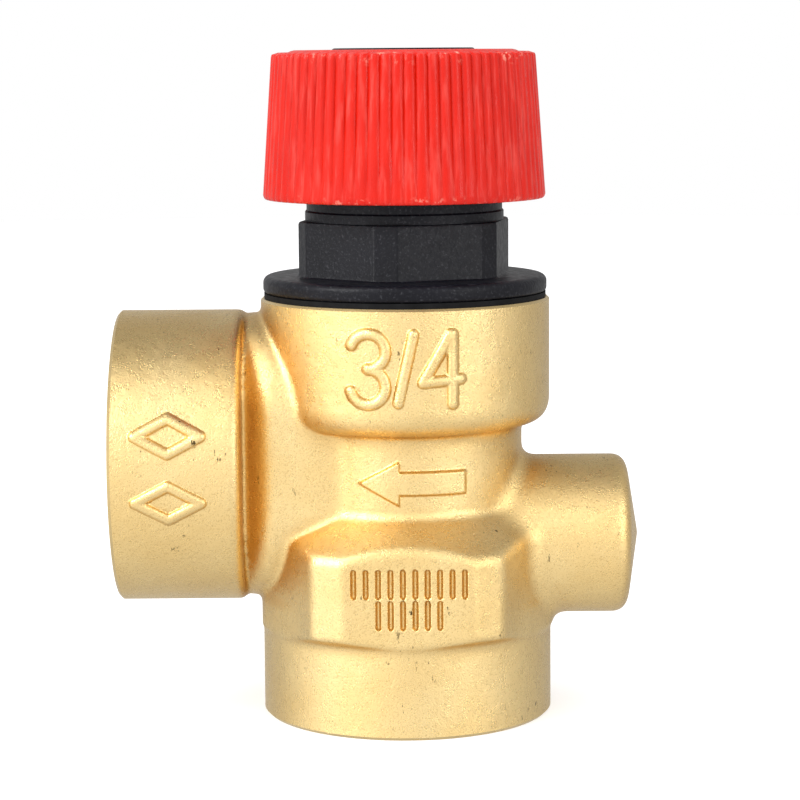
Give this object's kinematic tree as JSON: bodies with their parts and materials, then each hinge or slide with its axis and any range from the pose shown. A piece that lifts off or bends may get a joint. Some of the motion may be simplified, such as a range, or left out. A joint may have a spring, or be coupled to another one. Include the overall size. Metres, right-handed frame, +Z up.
{
  "type": "pressure relief valve",
  "caption": "Diaphragm pressure relief valve: brass body with threaded inlet below and threaded outlet at the side, black bonnet, and a ribbed knob that lifts the spring-loaded disc.",
  "frame": {"origin": "centre of the inlet socket's face, on the valve's own axis", "axes": "+Z up along the spindle, from the inlet to the knob; -X out of the outlet, along the flow arrow; +Y to the back"},
  "size_m": [0.059, 0.0338, 0.0754],
  "materials": {
    "body": "satin, shot-blasted forging",
    "bonnet_gasket": "matt",
    "bonnet": "fine-textured glass-filled nylon",
    "slip_ring": "plain",
    "diaphragm": "matt",
    "upper_spring_seat": "plain",
    "adjusting_ring": "machined",
    "main_spring": "drawn spring wire",
    "disc_holder": "machined",
    "seal_disc": "matt",
    "seal_washer": "plain",
    "seal_screw": "plain",
    "diaphragm_plate": "plain",
    "lower_spring_seat": "plain",
    "stem_nut": "plain",
    "stem": "machined",
    "knob_washer": "plain",
    "knob_screw": "plain",
    "knob": "moulded, semi-gloss",
    "knob_cap": "moulded"
  },
  "bodies": {
    "valve": {"body": "body", "bonnet_gasket": "bonnet_gasket", "bonnet": "bonnet", "slip_ring": "slip_ring", "diaphragm": "diaphragm", "upper_spring_seat": "upper_spring_seat", "adjusting_ring": "adjusting_ring", "main_spring": "main_spring"},
    "stem": {"stem": "stem", "stem_nut": "stem_nut", "disc_holder": "disc_holder", "seal_disc": "seal_disc", "seal_washer": "seal_washer", "seal_screw": "seal_screw", "diaphragm_plate": "diaphragm_plate", "lower_spring_seat": "lower_spring_seat", "knob_washer": "knob_washer", "knob_screw": "knob_screw"},
    "knob": {"knob": "knob", "knob_cap": "knob_cap"}
  },
  "joints": [
    {"name": "stem_lift", "type": "slide", "parent": "valve", "child": "stem", "axis": [0, 0, 1], "range_m": [0, 0.002], "stiffness_N_per_m": 400, "springref_m": -0.0005, "deforming": ["main_spring", "diaphragm"]},
    {"name": "knob_turn", "type": "hinge", "parent": "stem", "child": "knob", "pos_m": [0, 0, 0.0704], "axis": [0, 0, 1], "range_deg": [0, 75]}
  ],
  "couplings": [
    {"joint": "knob_turn", "follows": "stem_lift", "rad_per_m": 654.49}
  ]
}
